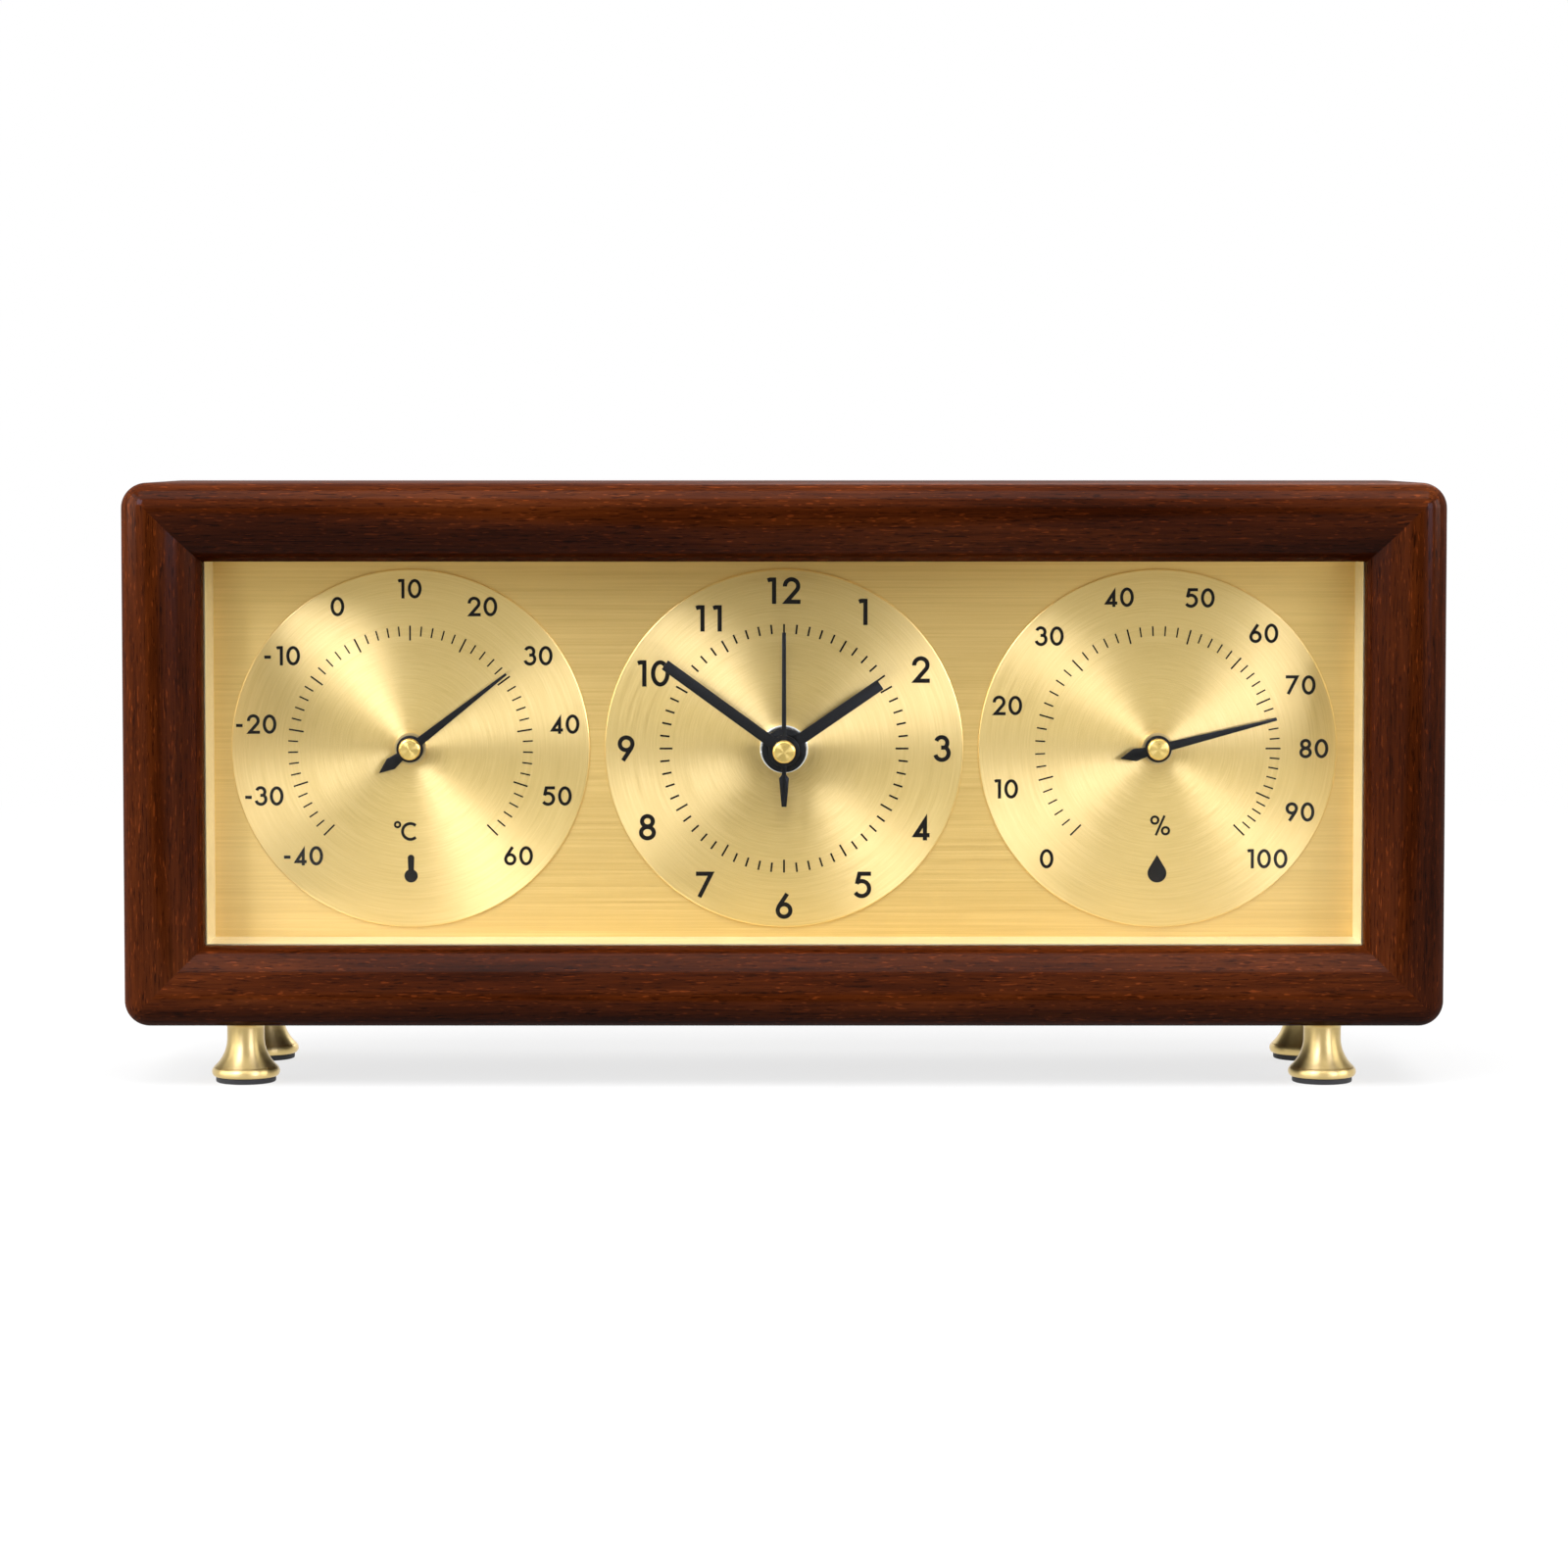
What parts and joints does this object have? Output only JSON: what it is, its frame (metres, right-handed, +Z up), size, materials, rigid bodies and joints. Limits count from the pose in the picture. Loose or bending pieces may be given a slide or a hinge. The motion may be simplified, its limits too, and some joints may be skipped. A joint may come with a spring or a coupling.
{
  "type": "thermometer hygrometer clock",
  "caption": "Table clock between a dial thermometer and a dial hygrometer, on a brushed brass plate behind glass in a long wooden case on turned brass feet",
  "frame": {"origin": "on the surface the feet stand on, under the middle of the case", "axes": "+X to the right seen from the front, +Y towards the back, +Z up"},
  "size_m": [0.26, 0.06, 0.119],
  "materials": {
    "case_wood": "gloss lacquer",
    "foot_brass": "polished",
    "pad_rubber": "matte",
    "front_glass": "clear float glass",
    "liner_brass": "satin lacquered",
    "plate_brass": "brushed lengthwise",
    "dial_brass": "circular brushed",
    "hand_black": "satin black",
    "cap_brass": "polished",
    "nut_plated": "bright plated",
    "cover_board": "fine grained black",
    "backing_fibre": "raw hardboard",
    "screw_steel": "zinc plated",
    "movement_black": "moulded black",
    "knob_black": "moulded black",
    "wheel_plastic": "natural acetal",
    "minute_brass": "machined",
    "rotor_magnet": "sintered magnet",
    "stator_steel": "annealed sheet",
    "coil_copper": "enamelled copper wire",
    "circuit_green": "solder mask",
    "battery_wrap": "plain printed sleeve",
    "contact_plated": "nickel plated spring sheet",
    "instrument_brass": "turned",
    "bridge_steel": "stamped sheet",
    "sensing_strip": "bimetal strip",
    "housing_plastic": "moulded black"
  },
  "bodies": {
    "case": {"case_top": "case_wood", "case_bottom": "case_wood", "case_left": "case_wood", "case_right": "case_wood", "foot_front_left": "foot_brass", "foot_front_right": "foot_brass", "foot_rear_left": "foot_brass", "foot_rear_right": "foot_brass", "foot_pads": "pad_rubber", "neck_washer": "pad_rubber", "front_glass": "front_glass", "brass_liner": "liner_brass", "dial_plate": "plate_brass", "thermometer_dial": "dial_brass", "clock_dial": "dial_brass", "hygrometer_dial": "dial_brass", "fixing_nut": "nut_plated", "back_cover": "cover_board", "backing_board": "backing_fibre", "back_screws": "screw_steel", "clip_screws": "screw_steel", "foot_screws": "screw_steel", "housing_screws": "screw_steel", "retaining_clips": "screw_steel", "movement_front_case": "movement_black", "movement_rear_case": "movement_black", "stator": "stator_steel", "motor_coil": "coil_copper", "circuit_board": "circuit_green", "battery": "battery_wrap", "battery_contacts": "contact_plated", "thermometer_bushing": "instrument_brass", "hygrometer_bushing": "instrument_brass", "instrument_nuts": "instrument_brass", "thermometer_bridge": "bridge_steel", "hygrometer_bridge": "bridge_steel", "thermometer_coil": "sensing_strip", "hygrometer_coil": "sensing_strip", "thermometer_housing": "housing_plastic", "hygrometer_housing": "housing_plastic"},
    "minute_set": {"minute_hand": "hand_black", "centre_wheel": "minute_brass"},
    "hour_set": {"hour_hand": "hand_black", "hour_wheel": "wheel_plastic"},
    "second_set": {"second_hand": "hand_black", "clock_cap": "cap_brass", "second_wheel": "wheel_plastic"},
    "motion_set": {"motion_wheel": "wheel_plastic"},
    "setting_set": {"setting_knob": "knob_black"},
    "third_set": {"third_wheel": "wheel_plastic"},
    "intermediate_set": {"intermediate_wheel": "wheel_plastic"},
    "rotor_set": {"rotor": "rotor_magnet"},
    "thermometer_set": {"thermometer_pointer": "hand_black", "thermometer_arbor": "instrument_brass", "thermometer_cap": "cap_brass"},
    "hygrometer_set": {"hygrometer_pointer": "hand_black", "hygrometer_arbor": "instrument_brass", "hygrometer_cap": "cap_brass"}
  },
  "joints": [
    {"name": "minute_hand_turn", "type": "hinge", "parent": "case", "child": "minute_set", "pos_m": [0, 0, 0.0655], "axis": [0, 1, 0], "continuous": true},
    {"name": "hour_hand_turn", "type": "hinge", "parent": "case", "child": "hour_set", "pos_m": [0, 0, 0.0655], "axis": [0, 1, 0], "continuous": true},
    {"name": "second_hand_turn", "type": "hinge", "parent": "case", "child": "second_set", "pos_m": [0, 0, 0.0655], "axis": [0, 1, 0], "continuous": true},
    {"name": "motion_wheel_turn", "type": "hinge", "parent": "case", "child": "motion_set", "pos_m": [0.00751, 0, 0.0721], "axis": [0, 1, 0], "continuous": true},
    {"name": "setting_knob_turn", "type": "hinge", "parent": "case", "child": "setting_set", "pos_m": [0.0155, 0, 0.07812], "axis": [0, 1, 0], "continuous": true},
    {"name": "third_wheel_turn", "type": "hinge", "parent": "case", "child": "third_set", "pos_m": [-0.00836, 0, 0.07479], "axis": [0, 1, 0], "continuous": true},
    {"name": "intermediate_wheel_turn", "type": "hinge", "parent": "case", "child": "intermediate_set", "pos_m": [0.00047, 0, 0.07449], "axis": [0, 1, 0], "continuous": true},
    {"name": "rotor_turn", "type": "hinge", "parent": "case", "child": "rotor_set", "pos_m": [0.00547, 0, 0.08124], "axis": [0, 1, 0], "continuous": true},
    {"name": "thermometer_pointer_turn", "type": "hinge", "parent": "case", "child": "thermometer_set", "pos_m": [-0.075, 0, 0.0655], "axis": [0, 1, 0], "range_deg": [-187.1, 82.9], "stiffness_Nm_per_rad": 0.002, "deforming": ["thermometer_coil"]},
    {"name": "hygrometer_pointer_turn", "type": "hinge", "parent": "case", "child": "hygrometer_set", "pos_m": [0.075, 0, 0.0655], "axis": [0, 1, 0], "range_deg": [-210.9, 59.1], "stiffness_Nm_per_rad": 0.002, "deforming": ["hygrometer_coil"]}
  ],
  "couplings": [
    {"joint": "hour_hand_turn", "follows": "minute_hand_turn", "ratio": 0.083333},
    {"joint": "second_hand_turn", "follows": "minute_hand_turn", "ratio": 60},
    {"joint": "motion_wheel_turn", "follows": "minute_hand_turn", "ratio": -0.33333},
    {"joint": "setting_knob_turn", "follows": "minute_hand_turn", "ratio": 1},
    {"joint": "third_wheel_turn", "follows": "minute_hand_turn", "ratio": -7.5},
    {"joint": "intermediate_wheel_turn", "follows": "minute_hand_turn", "ratio": -300},
    {"joint": "rotor_turn", "follows": "minute_hand_turn", "ratio": 1800}
  ]
}
